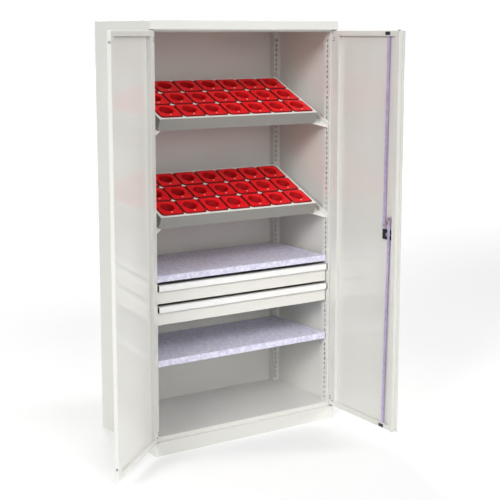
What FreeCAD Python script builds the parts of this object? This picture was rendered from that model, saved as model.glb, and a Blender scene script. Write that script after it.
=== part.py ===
import FreeCAD, Part
import math
import os

# Two-door steel cabinet with sloping insert frames, drawers and shelves.
# Millimetres, +Z up, doors to -Y. The origin is the middle of the plinth's underside.

V = FreeCAD.Vector

# Overall size and sheet
HEIGHT = 2000.0
WIDTH = 1040.0
DEPTH = 543.0
SHEET = 1.2
FOLD_RADIUS = 2.0
OVERRUN = 5.0

# Plinth, floor, roof and back
PLINTH_HEIGHT = 65.0
PLINTH_FLANGE = 45.0
PLINTH_FOOT = 30.0
PLINTH_CORNER = 8.0
FLOOR_RISE = 18.5
BAND_HEIGHT = 40.0
CAP_FLANGE = 40.0
HEADER_DROP = 10.0
JAMB_WIDTH = 29.5
BACK_RECESS = 20.0

# Slotted posts
FRONT_POST_DEPTH = 48.0
REAR_POST_WIDTH = 38.0
REAR_POST_DEPTH = 38.0
SLOT_PITCH = 25.0
SLOT_HEIGHT = 13.0
SLOT_WIDTH = 7.0
FIRST_SLOT_RISE = 23.5
FRONT_SLOT_SETBACK = 21.5
REAR_SLOT_INSET = 12.0
LUG_CLEARANCE = 1.0
LUG_REACH = 8.0

# Doors, with the angles that they stand open at
DOOR_THICKNESS = 19.0
DOOR_GAP = 5.0
MEETING_GAP = 14.0
SWING_CLEARANCE = 0.6
HINGE_LIP = 50.0
FREE_LIP = 30.0
END_LIP = 24.0
LIP_RETURN = 17.0
OVERLAP = 18.0
OVERLAP_SEAT = 20.0
OVERLAP_CLEARANCE = 0.6
LEFT_OPEN_ANGLE = 139.0
RIGHT_OPEN_ANGLE = 88.0

# Hinges and buffers
PIN_RADIUS = 4.0
PIN_REACH = 10.0
BUSH_WALL = 3.0
BUSH_FLANGE = 2.0
BUSH_FLANGE_WIDTH = 2.5
RUNNING_GAP = 0.3
HINGE_BLOCK_WIDTH = 34.0
HINGE_BLOCK_GAP = 2.6
HINGE_BLOCK_MARGIN = 13.5
HINGE_SCREW_RISE = 34.0
HINGE_SCREW_PITCH = 12.5
HINGE_SCREW_REACH = 3.0
EXTRA_SCREW_REACH = 22.0
EXTRA_SCREW_RISE = 26.0
SCREW_HEAD_RADIUS = 3.2
SCREW_HEAD_HEIGHT = 1.5
SCREW_SHANK_RADIUS = 2.0
SCREW_LENGTH = 9.0
BUFFER_RADIUS = 6.0
BUFFER_STAND = 3.5
BUFFER_INSET = 12.0
EDGE_BUFFER_STAND = 1.2
EDGE_BUFFER_RISE = 48.0

# Lock on the right door
LOCK_BACKSET = 76.0
GUIDE_BACKSET = 83.0
CAM_HEIGHT = 1071.0
CAM_RADIUS = 22.5
CAM_SHEET = 2.0
CAM_EDGE = 6.0
CAM_HUB_RADIUS = 8.0
CAM_PIN_RADIUS = 3.0
CAM_PIN_STAND = 2.0
CAM_ANGLE = 45.0
CASE_WIDTH = 70.0
CASE_HEIGHT = 48.0
CASE_DEPTH = 6.8
CASE_CORNER = 4.0
PLUG_DROP = 60.0
PLUG_RADIUS = 9.0
PLUG_STAND = 1.5
KEY_SLOT_WIDTH = 1.6
KEY_SLOT_LENGTH = 9.0
KEY_SLOT_DEPTH = 4.0
TAIL_LENGTH = 28.0
TAIL_WIDTH = 9.0
TAIL_SHEET = 1.5
ROD_WIDTH = 16.0
ROD_THICKNESS = 3.0
ROD_GAP = 0.5
ROD_END_GAP = 1.0
EYE_WIDTH = 24.0
EYE_HEIGHT = 22.0
SLIDE_CLEARANCE = 1.0
GUIDE_WIDTH = 34.0
GUIDE_HEIGHT = 16.0
GUIDE_INSET = 4.0
GUIDE_PROUD = 1.0
GUIDE_WALL = 3.5
GUIDE_CLEARANCE = 0.4
STRIKE_CLEARANCE = 2.5
ESCUTCHEON_WIDTH = 44.0
ESCUTCHEON_DEPTH = 7.0
ESCUTCHEON_MARGIN = 30.0
ESCUTCHEON_CORNER = 10.0
ESCUTCHEON_EDGE = 2.0
SPINDLE_RADIUS = 5.0
HUB_RADIUS = 15.0
HUB_DEPTH = 16.0
LEVER_LENGTH = 112.0
LEVER_WIDTH = 20.0
LEVER_THICKNESS = 11.0
LEVER_EDGE = 3.0
CAM_SCREW_RADIUS = 6.0
CAM_SCREW_HEAD = 2.0
CAM_SCREW_SHANK_RADIUS = 2.5
CAM_SCREW_LENGTH = 12.0

# Sloping insert frames
FRAME_TILT_ANGLE = 24.0
COLUMNS = 7
ROWS = 3
FRAME_HEIGHT_SHARES = (0.763, 0.522)
FRAME_SETBACK = 69.5
FRAME_SIDE_GAP = 45.5
FRAME_MARGIN = 13.0
FRAME_RIM = 60.0
FRAME_SHEET = 1.5
ARM_TOP = 38.0
ARM_LIP = 8.0
ARM_SEAT = 14.0
ARM_FRONT_GAP = 2.5
ARM_LUG_DROP = 45.5

# Inserts
INSERT_GAP = 1.2
INSERT_FLANGE = 3.5
INSERT_CORNER = 18.0
INSERT_BEVEL = 7.0
INSERT_BEVEL_DROP = 2.5
SEAT_RADIUS = 38.5
SEAT_DEPTH = 1.2
BORE_RADIUS = 34.9
BORE_END_RADIUS = 27.3
BODY_RADIUS = 42.0
BODY_END_RADIUS = 33.0
BODY_DEPTH = 52.0
BODY_CLEARANCE = 4.0
SOCKET_SHIFT_SHARE = 0.58
INSERT_SCREW_SHARE = 0.4
INSERT_SCREW_RADIUS = 3.6
INSERT_SCREW_HEAD = 1.2
INSERT_SCREW_SHANK_RADIUS = 1.6
INSERT_SCREW_LENGTH = 2.5

# Shelves and their clips
SHELF_HEIGHT_SHARES = (0.388, 0.173)
SHELF_THICKNESS = 30.0
SHELF_SIDE_GAP = 6.0
SHELF_SETBACK = 33.0
SHELF_REAR_GAP = 4.0
SHELF_RETURN = 15.0
CLIP_RISE = 9.0
CLIP_DROP = 22.0
CLIP_WIDTH = 18.0
CLIP_LEDGE = 16.0
CLIP_SHEET = 2.0

# Drawers
DRAWER_COUNT = 2
DRAWER_SHELF_GAP = 15.0
DRAWER_FRONT_HEIGHT = 87.0
DRAWER_GAP = 13.0
DRAWER_FRONT_SETBACK = 36.0
DRAWER_FRONT_DEPTH = 15.0
DRAWER_SIDE_GAP = 6.0
HANDLE_HEIGHT = 27.0
HANDLE_PROUD = 13.5
HANDLE_WALL = 2.0
HANDLE_LIP = 4.0
HANDLE_EDGE = 1.5
HANDLE_CAP = 4.0
BOX_SHEET = 1.0
BOX_RISE = 10.0
BOX_HEIGHT = 62.0
BOX_REAR_GAP = 26.0
RUNNER_SPACE = 20.0
RUNNER_HEIGHT = 46.0
RUNNER_DEPTH = 13.0
RUNNER_WALL = 1.5
RUNNER_STEP = 2.0
BALL_GAP = 0.4

# Planes of the carcass
FRONT = -DEPTH / 2
REAR = DEPTH / 2
SIDE = WIDTH / 2
WALL = SIDE - SHEET
OPENING = SIDE - JAMB_WIDTH
FLOOR_TOP = PLINTH_HEIGHT + FLOOR_RISE
BAND_BOTTOM = HEIGHT - BAND_HEIGHT
HEADER_BOTTOM = BAND_BOTTOM - HEADER_DROP
BACK_FACE = REAR - BACK_RECESS

# The door turns about the middle of its thickness, and its hinge edge has to clear the jamb
PIVOT_INSET = DOOR_THICKNESS / 2
PIVOT_X = SIDE - PIVOT_INSET
PIVOT_Y = FRONT + PIVOT_INSET
JAMB_FRONT = PIVOT_Y + math.hypot(PIVOT_INSET, PIVOT_INSET) + SWING_CLEARANCE
DOOR_BOTTOM = PLINTH_HEIGHT + DOOR_GAP
DOOR_TOP = BAND_BOTTOM - DOOR_GAP
DOOR_REACH = PIVOT_X - MEETING_GAP / 2

# Posts and slots
POST_FRONT = JAMB_FRONT + SHEET
REAR_POST_FACE = BACK_FACE - REAR_POST_DEPTH
REAR_POST_INNER = WALL - REAR_POST_WIDTH
FRONT_SLOT_Y = JAMB_FRONT + FRONT_SLOT_SETBACK
REAR_SLOT_X = REAR_POST_INNER + REAR_SLOT_INSET
FIRST_SLOT = FLOOR_TOP + FIRST_SLOT_RISE
SLOT_COUNT = int((HEADER_BOTTOM - FIRST_SLOT_RISE - FIRST_SLOT) / SLOT_PITCH) + 1

# Heights that the slots of the frames and the shelves are nearest to
FRAME_HEIGHTS = [FLOOR_TOP + share * (HEADER_BOTTOM - FLOOR_TOP) for share in FRAME_HEIGHT_SHARES]
SHELF_HEIGHTS = [FLOOR_TOP + share * (HEADER_BOTTOM - FLOOR_TOP) for share in SHELF_HEIGHT_SHARES]

# Lock layout, as distances from the pivot along the door and in from its outer face
LOCK_REACH = DOOR_REACH - LOCK_BACKSET
GUIDE_REACH = DOOR_REACH - GUIDE_BACKSET
PLUG_HEIGHT = CAM_HEIGHT - PLUG_DROP
CASE_FACE = SHEET + CASE_DEPTH
CAM_FACE = CASE_FACE + RUNNING_GAP
ROD_FACE = CAM_FACE + CAM_SHEET + ROD_GAP
ROD_BACK = ROD_FACE + ROD_THICKNESS
CAM_SPREAD = CAM_RADIUS * math.cos(math.radians(CAM_ANGLE))
CAM_LIFT = CAM_RADIUS * math.sin(math.radians(CAM_ANGLE))
ROD_OFFSET = (CAM_RADIUS + CAM_SPREAD) / 2

# Insert frames, laid out flat and then tilted about their front edge
FRAME_HALF = OPENING - FRAME_SIDE_GAP
INSERT_PITCH = 2 * (FRAME_HALF - FRAME_MARGIN) / COLUMNS
INSERT_HALF = (INSERT_PITCH - INSERT_GAP) / 2
SOCKET_SHIFT = SOCKET_SHIFT_SHARE * (INSERT_HALF - INSERT_BEVEL - SEAT_RADIUS)
FRAME_FRONT = FRONT + FRAME_SETBACK
FRAME_LENGTH = ROWS * INSERT_PITCH
FRAME_FOOT = INSERT_FLANGE + FRAME_RIM
TILT_SIN = math.sin(math.radians(FRAME_TILT_ANGLE))
TILT_COS = math.cos(math.radians(FRAME_TILT_ANGLE))

# Shelves and drawers
SHELF_HALF = OPENING - SHELF_SIDE_GAP
SHELF_FRONT = FRONT + SHELF_SETBACK
DRAWER_FACE = FRONT + DRAWER_FRONT_SETBACK
DRAWER_FRONT_BACK = DRAWER_FACE + DRAWER_FRONT_DEPTH
DRAWER_HALF = OPENING - DRAWER_SIDE_GAP
DRAWER_PITCH = DRAWER_FRONT_HEIGHT + DRAWER_GAP
BOX_HALF = OPENING - RUNNER_SPACE
BOX_REAR = REAR_POST_FACE - BOX_REAR_GAP


def block(x, y, z):
    """A box from its low and high ends along each axis."""
    return Part.makeBox(x[1] - x[0], y[1] - y[0], z[1] - z[0], V(x[0], y[0], z[0]))


def pin(radius, start, end):
    """A round bar between two points."""
    return Part.makeCylinder(radius, (end - start).Length, start, end - start)


def mirrored(shape):
    """The same piece on the other side of the cabinet."""
    return shape.mirror(V(0, 0, 0), V(1, 0, 0))


def both(shape):
    """A pair of pieces, right and left."""
    return Part.makeCompound([shape, mirrored(shape)])


def inset(span, amount):
    """A span drawn in by the same amount at both ends."""
    return (span[0] + amount, span[1] - amount)


def slot_near(height):
    """The height of the slot that lies nearest to the given height."""
    return FIRST_SLOT + SLOT_PITCH * round((height - FIRST_SLOT) / SLOT_PITCH)


def plinth():
    """Ring under the cabinet: four skirts with flanges turned in at the top and the foot."""
    x, y, z = (-SIDE, SIDE), (FRONT, REAR), (0, PLINTH_HEIGHT)
    ring = block(x, y, z)
    corners = [e for e in ring.Edges if e.BoundBox.ZLength > PLINTH_HEIGHT / 2 and e.BoundBox.YMax < 0]
    ring = ring.makeFillet(PLINTH_CORNER, corners)
    hollow = block(inset(x, SHEET), inset(y, SHEET), inset(z, SHEET))
    upright = [e for e in hollow.Edges if e.BoundBox.ZLength > PLINTH_HEIGHT / 2 and e.BoundBox.YMax < 0]
    hollow = hollow.makeFillet(PLINTH_CORNER - SHEET, upright)
    top = block(inset(x, PLINTH_FLANGE), inset(y, PLINTH_FLANGE),
                (PLINTH_HEIGHT / 2, PLINTH_HEIGHT + OVERRUN))
    foot = block(inset(x, PLINTH_FOOT), inset(y, PLINTH_FOOT), (-OVERRUN, PLINTH_HEIGHT / 2))
    holes = pivot_holes((PLINTH_HEIGHT - SHEET - OVERRUN, PLINTH_HEIGHT + OVERRUN))
    strike = strike_hole((PLINTH_HEIGHT - SHEET - OVERRUN, PLINTH_HEIGHT + OVERRUN))
    return ring.cut([hollow, top, foot, strike] + holes)


def pivot_holes(z):
    """Round holes for the hinge bushes, right and left."""
    hole = pin(PIN_RADIUS + BUSH_WALL, V(PIVOT_X, PIVOT_Y, z[0]), V(PIVOT_X, PIVOT_Y, z[1]))
    return [hole, mirrored(hole)]


def strike_hole(z):
    """Slot that a lock rod enters when the right door is shut."""
    middle = PIVOT_X - GUIDE_REACH
    half = ROD_WIDTH / 2 + STRIKE_CLEARANCE
    depth = (FRONT + ROD_FACE - STRIKE_CLEARANCE, FRONT + ROD_BACK + STRIKE_CLEARANCE)
    return block((middle - half, middle + half), depth, z)


def floor_panel():
    """Tray floor: flat top with edges turned down onto the plinth."""
    x, y = (-WALL, WALL), (JAMB_FRONT, BACK_FACE)
    pan = block(x, y, (PLINTH_HEIGHT, FLOOR_TOP))
    under = block(inset(x, SHEET), inset(y, SHEET), (PLINTH_HEIGHT - OVERRUN, FLOOR_TOP - SHEET))
    return pan.cut(under)


def right_side_panel():
    """Outer side skin with the jamb turned in at the front."""
    skin = block((WALL, SIDE), (JAMB_FRONT, REAR), (PLINTH_HEIGHT, BAND_BOTTOM))
    jamb = block((OPENING, SIDE), (JAMB_FRONT, POST_FRONT), (FLOOR_TOP, HEADER_BOTTOM))
    return skin.fuse(jamb).removeSplitter()


def back_panel():
    """Back sheet with edges turned to the rear between the side skins."""
    x, z = (-WALL, WALL), (PLINTH_HEIGHT, BAND_BOTTOM)
    pan = block(x, (BACK_FACE, REAR), z)
    hollow = block(inset(x, SHEET), (BACK_FACE + SHEET, REAR + OVERRUN), inset(z, SHEET))
    return pan.cut(hollow)


def top_cap():
    """Roof with a band all round, a ledge over the doors and a header behind it."""
    x, y, z = (-SIDE, SIDE), (FRONT, REAR), (BAND_BOTTOM, HEIGHT)
    roof = block(x, y, z)
    roof = roof.makeFillet(FOLD_RADIUS, [e for e in roof.Edges if e.BoundBox.ZMax > HEIGHT - BAND_HEIGHT / 2])
    shell = roof.cut(block(inset(x, SHEET), inset(y, SHEET), inset(z, SHEET)))
    window = block(inset(x, CAP_FLANGE), (POST_FRONT, REAR - CAP_FLANGE),
                   (BAND_BOTTOM - OVERRUN, HEIGHT - BAND_HEIGHT / 2))
    header = block((-WALL, WALL), (JAMB_FRONT, POST_FRONT), (HEADER_BOTTOM, BAND_BOTTOM + SHEET))
    cuts = (BAND_BOTTOM - OVERRUN, BAND_BOTTOM + SHEET + OVERRUN)
    shell = shell.cut([window, strike_hole(cuts)] + pivot_holes(cuts))
    return shell.fuse(header).removeSplitter()


def slots(x, y):
    """One column of slots, cut right through a post's web."""
    column = []
    for row in range(SLOT_COUNT):
        middle = FIRST_SLOT + row * SLOT_PITCH
        column.append(block(x, y, (middle - SLOT_HEIGHT / 2, middle + SLOT_HEIGHT / 2)))
    return column


def front_right_post():
    """Channel behind the jamb, with its slotted web facing the inside."""
    z = (FLOOR_TOP, BAND_BOTTOM)
    y = (POST_FRONT, JAMB_FRONT + FRONT_POST_DEPTH)
    post = block((OPENING, WALL), y, z)
    hollow = block((OPENING + SHEET, WALL + OVERRUN), inset(y, SHEET), (z[0] - OVERRUN, z[1] + OVERRUN))
    half = SLOT_WIDTH / 2
    column = slots((OPENING - OVERRUN, OPENING + SHEET + OVERRUN), (FRONT_SLOT_Y - half, FRONT_SLOT_Y + half))
    return post.cut([hollow] + column)


def rear_right_post():
    """Channel in the rear corner, with its slotted web facing the front."""
    z = (FLOOR_TOP, BAND_BOTTOM)
    x = (REAR_POST_INNER, WALL)
    post = block(x, (REAR_POST_FACE, BACK_FACE), z)
    hollow = block(inset(x, SHEET), (REAR_POST_FACE + SHEET, BACK_FACE + OVERRUN),
                   (z[0] - OVERRUN, z[1] + OVERRUN))
    half = SLOT_WIDTH / 2
    web = (REAR_POST_FACE - OVERRUN, REAR_POST_FACE + SHEET + OVERRUN)
    column = slots((REAR_SLOT_X - half, REAR_SLOT_X + half), web)
    return post.cut([hollow] + column)


def hinge_bushes():
    """Flanged bushes in the roof ledge and the plinth, which the hinge pins turn in."""
    bore = PIN_RADIUS + RUNNING_GAP
    barrel = PIN_RADIUS + BUSH_WALL
    bushes = []
    for inner, outer, flange in ((BAND_BOTTOM, 1, BUSH_FLANGE),
                                 (PLINTH_HEIGHT, -1, DOOR_GAP - RUNNING_GAP)):
        sleeve = pin(barrel, V(PIVOT_X, PIVOT_Y, inner), V(PIVOT_X, PIVOT_Y, inner + outer * PIN_REACH))
        collar = pin(barrel + BUSH_FLANGE_WIDTH, V(PIVOT_X, PIVOT_Y, inner - outer * flange),
                     V(PIVOT_X, PIVOT_Y, inner))
        hole = pin(bore, V(PIVOT_X, PIVOT_Y, inner - outer * (flange + OVERRUN)),
                   V(PIVOT_X, PIVOT_Y, inner + outer * (PIN_REACH + OVERRUN)))
        bush = sleeve.fuse(collar).removeSplitter().cut(hole)
        bushes += [bush, mirrored(bush)]
    return Part.makeCompound(bushes)


def swing_right(shape):
    """Turns a piece of the shut right door to where the door stands open."""
    turned = shape.copy()
    turned.rotate(V(PIVOT_X, PIVOT_Y, 0), V(0, 0, 1), RIGHT_OPEN_ANGLE)
    return turned


def swing_left(shape):
    """Turns a piece of the shut left door to where the door stands open."""
    turned = shape.copy()
    turned.rotate(V(-PIVOT_X, PIVOT_Y, 0), V(0, 0, 1), -LEFT_OPEN_ANGLE)
    return turned


def door_block(reach, depth, z):
    """A box on the shut right door: reach runs from the pivot, depth in from the outer face."""
    return block((PIVOT_X - reach[1], PIVOT_X - reach[0]), (FRONT + depth[0], FRONT + depth[1]), z)


def door_pin(radius, reach, z, depth):
    """A round bar square to the shut right door."""
    return pin(radius, V(PIVOT_X - reach, FRONT + depth[0], z), V(PIVOT_X - reach, FRONT + depth[1], z))


def door_bar(width, start, end, depth):
    """A flat bar on the shut right door between two (reach, height) points."""
    run = V(start[0] - end[0], 0, end[1] - start[1])
    bar = block((-width / 2, width / 2), depth, (0, run.Length))
    bar.rotate(V(0, 0, 0), V(0, 1, 0), math.degrees(math.atan2(run.x, run.z)))
    bar.translate(V(PIVOT_X - start[0], FRONT, start[1]))
    return bar


def door_tray(outer):
    """Shut right-hand door: a skin, edges, and lips whose rims turn back in; outer is the skin's depth."""
    reach = (-PIVOT_INSET, DOOR_REACH)
    z = (DOOR_BOTTOM, DOOR_TOP)
    clear = (reach[0] + HINGE_LIP, reach[1] - FREE_LIP)
    tray = door_block(reach, (outer, DOOR_THICKNESS), z)
    tray = tray.makeFillet(FOLD_RADIUS, tray.Edges)
    hollow = door_block(inset(reach, SHEET), (outer + SHEET, DOOR_THICKNESS - SHEET), inset(z, SHEET))
    rim = door_block(inset(clear, -SHEET), (DOOR_THICKNESS - LIP_RETURN, DOOR_THICKNESS),
                     inset(z, END_LIP - SHEET))
    window = door_block(clear, (outer + SHEET, DOOR_THICKNESS + OVERRUN), inset(z, END_LIP))
    holes = [pin(PIN_RADIUS, V(PIVOT_X, PIVOT_Y, end - OVERRUN), V(PIVOT_X, PIVOT_Y, end + OVERRUN))
             for end in z]
    return tray.cut(hollow).fuse(rim).removeSplitter().cut([window] + holes + screw_shanks())


def right_door_panel():
    """Right door with the strip that covers the gap, and the openings for its lock."""
    strip = door_block((DOOR_REACH - OVERLAP_SEAT, DOOR_REACH + OVERLAP), (-SHEET, 0),
                       (DOOR_BOTTOM, DOOR_TOP))
    through = (-SHEET - OVERRUN, SHEET + OVERRUN)
    cuts = [door_pin(SPINDLE_RADIUS + RUNNING_GAP, LOCK_REACH, CAM_HEIGHT, through),
            door_pin(PLUG_RADIUS + RUNNING_GAP, LOCK_REACH, PLUG_HEIGHT, through)]
    cuts += [cut(top) for cut in (guide_envelope, rod_way) for top in (True, False)]
    return door_tray(0).fuse(strip).removeSplitter().cut(cuts)


def left_door_panel():
    """Left door, set back a little so that the right door's strip can close over it."""
    return mirrored(door_tray(OVERLAP_CLEARANCE))


def end_height(top, amount):
    """A height measured in from the door's top edge, or up from its bottom edge."""
    return DOOR_TOP - amount if top else DOOR_BOTTOM + amount


def end_span(top, low, high):
    """A height span measured in from one end of the door."""
    return tuple(sorted((end_height(top, low), end_height(top, high))))


def screw_places():
    """Reach and height of each screw in the door's hinge lip."""
    rises = [HINGE_SCREW_RISE, HINGE_SCREW_RISE + HINGE_SCREW_PITCH]
    places = [(HINGE_SCREW_REACH, end_height(top, rise)) for top in (True, False) for rise in rises]
    return places + [(EXTRA_SCREW_REACH, end_height(False, EXTRA_SCREW_RISE))]


def screw_shanks():
    """The screw shanks, which also cut the holes that they sit in."""
    depth = (DOOR_THICKNESS - SCREW_LENGTH, DOOR_THICKNESS + SCREW_HEAD_HEIGHT / 2)
    return [door_pin(SCREW_SHANK_RADIUS, reach, z, depth) for reach, z in screw_places()]


def hinge_screws():
    """Pan-head screws through the hinge lip into the hinge blocks."""
    heads = [door_pin(SCREW_HEAD_RADIUS, reach, z, (DOOR_THICKNESS, DOOR_THICKNESS + SCREW_HEAD_HEIGHT))
             for reach, z in screw_places()]
    return Part.makeCompound([h.fuse(s).removeSplitter() for h, s in zip(heads, screw_shanks())])


def hinge_pin(top):
    """Pivot pin that stands out of the door's end into its bush."""
    seat = end_height(top, HINGE_SCREW_RISE - 2 * SCREW_SHANK_RADIUS)
    tip = BAND_BOTTOM + PIN_REACH if top else PLINTH_HEIGHT - PIN_REACH
    return pin(PIN_RADIUS, V(PIVOT_X, PIVOT_Y, seat), V(PIVOT_X, PIVOT_Y, tip))


def hinge_pins():
    """Both pivot pins of a door."""
    return Part.makeCompound([hinge_pin(True), hinge_pin(False)])


def hinge_blocks():
    """Blocks in the door's hinge corners that hold the pins and take the screws."""
    depth = (SHEET + HINGE_BLOCK_GAP, DOOR_THICKNESS - SHEET)
    reach = (SHEET - PIVOT_INSET, SHEET - PIVOT_INSET + HINGE_BLOCK_WIDTH)
    height = HINGE_SCREW_RISE + HINGE_SCREW_PITCH + HINGE_BLOCK_MARGIN
    blocks = []
    for top in (True, False):
        body = door_block(reach, depth, end_span(top, SHEET, height))
        blocks.append(body.cut([hinge_pin(top)] + screw_shanks()))
    return Part.makeCompound(blocks)


def right_door_buffers():
    """Rubber plugs on the free corners that steady the door against roof and plinth."""
    x = PIVOT_X - DOOR_REACH + BUFFER_INSET
    ends = ((DOOR_TOP, DOOR_TOP + BUFFER_STAND), (DOOR_BOTTOM - BUFFER_STAND, DOOR_BOTTOM))
    return Part.makeCompound([pin(BUFFER_RADIUS, V(x, PIVOT_Y, low), V(x, PIVOT_Y, high))
                              for low, high in ends])


def left_door_buffers():
    """Thin rubber buttons on the left door's free edge."""
    y = FRONT + DOOR_THICKNESS - BUFFER_RADIUS - SHEET
    edge = PIVOT_X - DOOR_REACH
    buttons = []
    for top in (True, False):
        z = end_height(top, EDGE_BUFFER_RISE)
        buttons.append(pin(BUFFER_RADIUS, V(edge, y, z), V(edge - EDGE_BUFFER_STAND, y, z)))
    return mirrored(Part.makeCompound(buttons))


def lock_case():
    """Flat case behind the skin that the key plug turns in."""
    half = CASE_WIDTH / 2
    case = door_block((LOCK_REACH - half, LOCK_REACH + half), (SHEET, CASE_FACE),
                      (PLUG_HEIGHT - CASE_HEIGHT / 2, PLUG_HEIGHT + CASE_HEIGHT / 2))
    corners = [e for e in case.Edges if e.BoundBox.YLength > CASE_DEPTH / 2]
    case = case.makeFillet(CASE_CORNER, corners)
    return case.cut(door_pin(PLUG_RADIUS + RUNNING_GAP, LOCK_REACH, PLUG_HEIGHT,
                             (SHEET - OVERRUN, CASE_FACE + OVERRUN)))


def lock_plug():
    """Key plug with its keyway outside and a tail over the case inside."""
    face = -ESCUTCHEON_DEPTH - PLUG_STAND
    barrel = door_pin(PLUG_RADIUS, LOCK_REACH, PLUG_HEIGHT, (face, CAM_FACE))
    keyway = door_block((LOCK_REACH - KEY_SLOT_WIDTH / 2, LOCK_REACH + KEY_SLOT_WIDTH / 2),
                        (face - OVERRUN, face + KEY_SLOT_DEPTH),
                        (PLUG_HEIGHT - KEY_SLOT_LENGTH / 2, PLUG_HEIGHT + KEY_SLOT_LENGTH / 2))
    tail = door_block((LOCK_REACH, LOCK_REACH + TAIL_LENGTH), (CAM_FACE, CAM_FACE + TAIL_SHEET),
                      (PLUG_HEIGHT - TAIL_WIDTH / 2, PLUG_HEIGHT + TAIL_WIDTH / 2))
    boss = door_pin(PLUG_RADIUS, LOCK_REACH, PLUG_HEIGHT, (CAM_FACE, CAM_FACE + TAIL_SHEET))
    return barrel.cut(keyway).fuse([tail, boss]).removeSplitter()


def cam_pin_places():
    """Reach and height of the cam's two pins: the upper rod's, then the lower rod's."""
    return [(LOCK_REACH + side * CAM_SPREAD, CAM_HEIGHT + side * CAM_LIFT) for side in (-1, 1)]


def lock_cam():
    """Two-armed cam with a pin for each rod."""
    depth = (CAM_FACE, CAM_FACE + CAM_SHEET)
    low, high = cam_pin_places()
    plate = door_bar(2 * CAM_EDGE, low, high, depth)
    ends = [door_pin(CAM_EDGE, reach, z, depth) for reach, z in (low, high)]
    hub = door_pin(CAM_HUB_RADIUS, LOCK_REACH, CAM_HEIGHT, depth)
    pins = [door_pin(CAM_PIN_RADIUS, reach, z, (CAM_FACE, ROD_BACK + CAM_PIN_STAND))
            for reach, z in (low, high)]
    hole = door_pin(SPINDLE_RADIUS, LOCK_REACH, CAM_HEIGHT, (CAM_FACE - OVERRUN, ROD_BACK + OVERRUN))
    return plate.fuse(ends + [hub] + pins).removeSplitter().cut(hole)


def cam_screw():
    """Screw that holds the cam on the spindle."""
    back = CAM_FACE + CAM_SHEET
    head = door_pin(CAM_SCREW_RADIUS, LOCK_REACH, CAM_HEIGHT, (back, back + CAM_SCREW_HEAD))
    return head.fuse(cam_screw_shank()).removeSplitter()


def cam_screw_shank():
    """Threaded part of the cam's screw."""
    back = CAM_FACE + CAM_SHEET
    return door_pin(CAM_SCREW_SHANK_RADIUS, LOCK_REACH, CAM_HEIGHT, (back - CAM_SCREW_LENGTH, back))


def rod_ends(upper):
    """Reach and height of a rod's eye and of its far end, at rest inside its guide."""
    side = -1 if upper else 1
    eye = (LOCK_REACH + side * ROD_OFFSET, CAM_HEIGHT + side * CAM_LIFT)
    return eye, (GUIDE_REACH, end_height(upper, ROD_END_GAP))


def rod_bar(upper, width, depth, past):
    """A rod's flat bar, which may run past the door's end."""
    eye, tip = rod_ends(upper)
    run = V(tip[0] - eye[0], 0, tip[1] - eye[1])
    far = run * ((run.Length + past) / run.Length)
    return door_bar(width, eye, (eye[0] + far.x, eye[1] + far.z), depth)


def lock_rod(upper):
    """Flat rod with a slotted eye for its cam pin."""
    depth = (ROD_FACE, ROD_BACK)
    reach, z = rod_ends(upper)[0]
    eye = door_block((reach - EYE_WIDTH / 2, reach + EYE_WIDTH / 2), depth,
                     (z - EYE_HEIGHT / 2, z + EYE_HEIGHT / 2))
    wide = (CAM_RADIUS - CAM_SPREAD) / 2 + CAM_PIN_RADIUS + SLIDE_CLEARANCE
    tall = CAM_PIN_RADIUS + SLIDE_CLEARANCE
    slot = door_block((reach - wide, reach + wide), (ROD_FACE - OVERRUN, ROD_BACK + OVERRUN),
                      (z - tall, z + tall))
    return rod_bar(upper, ROD_WIDTH, depth, 0).fuse(eye).removeSplitter().cut(slot)


def guide_envelope(top):
    """Outer form of a rod guide, which also cuts its place in the door's lip."""
    half = GUIDE_WIDTH / 2
    depth = (ROD_FACE - GUIDE_CLEARANCE - GUIDE_WALL, DOOR_THICKNESS + GUIDE_PROUD)
    return door_block((GUIDE_REACH - half, GUIDE_REACH + half), depth,
                      end_span(top, GUIDE_INSET, GUIDE_INSET + GUIDE_HEIGHT))


def rod_way(top):
    """The room that a rod slides in, through its guide and the door's lip."""
    depth = (ROD_FACE - GUIDE_CLEARANCE, ROD_BACK + GUIDE_CLEARANCE)
    return rod_bar(top, ROD_WIDTH + 2 * GUIDE_CLEARANCE, depth, OVERRUN)


def rod_guides():
    """Plastic guides in the door's top and bottom lips."""
    return Part.makeCompound([guide_envelope(top).cut(rod_way(top)) for top in (True, False)])


def handle_escutcheon():
    """Plate on the outside of the door for the handle and the key plug."""
    half = ESCUTCHEON_WIDTH / 2
    plate = door_block((LOCK_REACH - half, LOCK_REACH + half), (-ESCUTCHEON_DEPTH, 0),
                       (PLUG_HEIGHT - ESCUTCHEON_MARGIN, CAM_HEIGHT + ESCUTCHEON_MARGIN))
    corners = [e for e in plate.Edges if e.BoundBox.YLength > ESCUTCHEON_DEPTH / 2]
    plate = plate.makeFillet(ESCUTCHEON_CORNER, corners)
    outer = [e for e in plate.Edges if e.BoundBox.YMax < FRONT - ESCUTCHEON_DEPTH / 2]
    plate = plate.makeFillet(ESCUTCHEON_EDGE, outer)
    through = (-ESCUTCHEON_DEPTH - OVERRUN, OVERRUN)
    return plate.cut([door_pin(SPINDLE_RADIUS + RUNNING_GAP, LOCK_REACH, CAM_HEIGHT, through),
                      door_pin(PLUG_RADIUS + RUNNING_GAP, LOCK_REACH, PLUG_HEIGHT, through)])


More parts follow.
